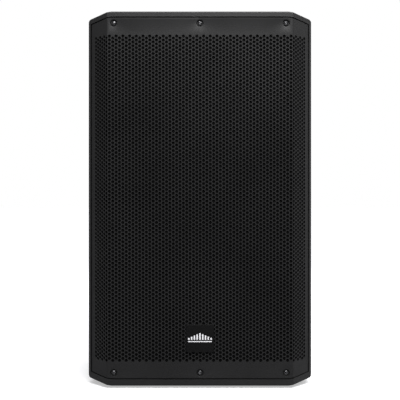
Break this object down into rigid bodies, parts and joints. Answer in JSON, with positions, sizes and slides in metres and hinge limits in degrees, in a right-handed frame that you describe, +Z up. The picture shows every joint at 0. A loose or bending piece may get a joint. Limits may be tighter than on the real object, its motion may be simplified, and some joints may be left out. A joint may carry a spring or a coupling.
{
  "type": "pa speaker cabinet",
  "caption": "Upright moulded loudspeaker cabinet with a full-height bent perforated grille, horn over woofer, side handles, pole socket and rear amplifier panel.",
  "frame": {"origin": "on the floor under the middle of the cabinet's outer box", "axes": "+Z up, the grille faces -Y, +X is to the right of someone facing the grille"},
  "size_m": [0.412, 0.37, 0.68],
  "materials": {
    "shell_plastic": "fine pebble grain, satin black",
    "inner_plastic": "smooth matt black",
    "grille_steel": "satin black powder coat",
    "grille_foam": "open-cell black foam",
    "black_screw": "blackened steel, worn bright at the drive",
    "badge_plastic": "smooth black",
    "badge_print": "white print",
    "seal_rubber": "matt black",
    "cast_frame": "black powder coat on a cast frame",
    "cloth_edge": "treated cloth",
    "cone_paper": "pressed fibre",
    "motor_steel": "zinc plated",
    "ferrite": "dark sintered ferrite",
    "coil_copper": "enamelled wire",
    "light_alloy": "bare",
    "insert_steel": "blackened",
    "panel_paint": "fine texture black paint",
    "heatsink_alloy": "black anodised",
    "control_plastic": "smooth black",
    "knob_plastic": "satin",
    "button_plastic": "grey",
    "light_lens": "clear tinted",
    "circuit_board": "green solder mask",
    "coil_wrap": "taped winding",
    "can_sleeve": "sleeved cans",
    "lead_jacket": "black jacket",
    "wadding": "loose polyester wadding"
  },
  "bodies": {
    "cabinet": {"front_shell": "shell_plastic", "rear_shell": "shell_plastic", "shell_screws": "black_screw", "grille": "grille_steel", "grille_foam": "grille_foam", "grille_screws": "black_screw", "badge_plate": "badge_plastic", "badge_mark": "badge_print", "cabinet_seal": "seal_rubber", "woofer_basket": "cast_frame", "woofer_surround": "cloth_edge", "woofer_gasket": "seal_rubber", "woofer_spider": "cloth_edge", "woofer_top_plate": "motor_steel", "woofer_magnet": "ferrite", "woofer_back_plate": "motor_steel", "woofer_terminals": "inner_plastic", "woofer_screws": "black_screw", "horn_flare": "inner_plastic", "hf_driver_body": "motor_steel", "hf_driver_cap": "inner_plastic", "port_tube_left": "inner_plastic", "port_tube_right": "inner_plastic", "handle_left": "shell_plastic", "handle_right": "shell_plastic", "pole_socket": "inner_plastic", "rubber_feet": "seal_rubber", "rigging_inserts": "insert_steel", "body_screws": "black_screw", "panel_screws": "black_screw", "amp_panel": "panel_paint", "panel_gasket": "seal_rubber", "heatsink": "heatsink_alloy", "input_jacks": "control_plastic", "link_jack": "control_plastic", "potentiometers": "control_plastic", "button_switches": "control_plastic", "indicator_lights": "light_lens", "input_board": "circuit_board", "rocker_frame": "control_plastic", "mains_inlet": "control_plastic", "amp_cover": "panel_paint", "amp_board": "circuit_board", "board_standoffs": "light_alloy", "power_transformer": "coil_wrap", "capacitors": "can_sleeve", "power_transistors": "control_plastic", "speaker_leads": "lead_jacket", "side_wadding": "wadding"},
    "woofer_drive": {"woofer_cone": "cone_paper", "woofer_dust_cap": "cone_paper", "coil_former": "light_alloy", "coil_winding": "coil_copper"},
    "hf_drive": {"hf_diaphragm": "light_alloy"},
    "input_one_knob": {"knob_input_one": "knob_plastic"},
    "master_knob": {"knob_master": "knob_plastic"},
    "input_two_knob": {"knob_input_two": "knob_plastic"},
    "button_one": {"button_one": "button_plastic"},
    "button_two": {"button_two": "button_plastic"},
    "power_rocker": {"power_rocker": "knob_plastic"}
  },
  "joints": [
    {"name": "woofer_stroke", "type": "slide", "parent": "cabinet", "child": "woofer_drive", "axis": [0, -1, 0], "range_m": [-0.006, 0.006], "stiffness_N_per_m": 5000, "deforming": ["woofer_surround", "woofer_spider"]},
    {"name": "hf_stroke", "type": "slide", "parent": "cabinet", "child": "hf_drive", "axis": [0, -1, 0], "range_m": [-0.0004, 0.0004], "stiffness_N_per_m": 20000},
    {"name": "input_one_turn", "type": "hinge", "parent": "cabinet", "child": "input_one_knob", "pos_m": [-0.058, 0.172, 0.324], "axis": [0, 1, 0], "range_deg": [-150, 150]},
    {"name": "master_turn", "type": "hinge", "parent": "cabinet", "child": "master_knob", "pos_m": [0, 0.172, 0.324], "axis": [0, 1, 0], "range_deg": [-150, 150]},
    {"name": "input_two_turn", "type": "hinge", "parent": "cabinet", "child": "input_two_knob", "pos_m": [0.058, 0.172, 0.324], "axis": [0, 1, 0], "range_deg": [-150, 150]},
    {"name": "button_one_push", "type": "slide", "parent": "cabinet", "child": "button_one", "axis": [0, -1, 0], "range_m": [0, 0.002], "stiffness_N_per_m": 600},
    {"name": "button_two_push", "type": "slide", "parent": "cabinet", "child": "button_two", "axis": [0, -1, 0], "range_m": [0, 0.002], "stiffness_N_per_m": 600},
    {"name": "power_rock", "type": "hinge", "parent": "cabinet", "child": "power_rocker", "pos_m": [0, 0.171, 0.124], "axis": [-1, 0, 0], "range_deg": [0, 16]}
  ]
}
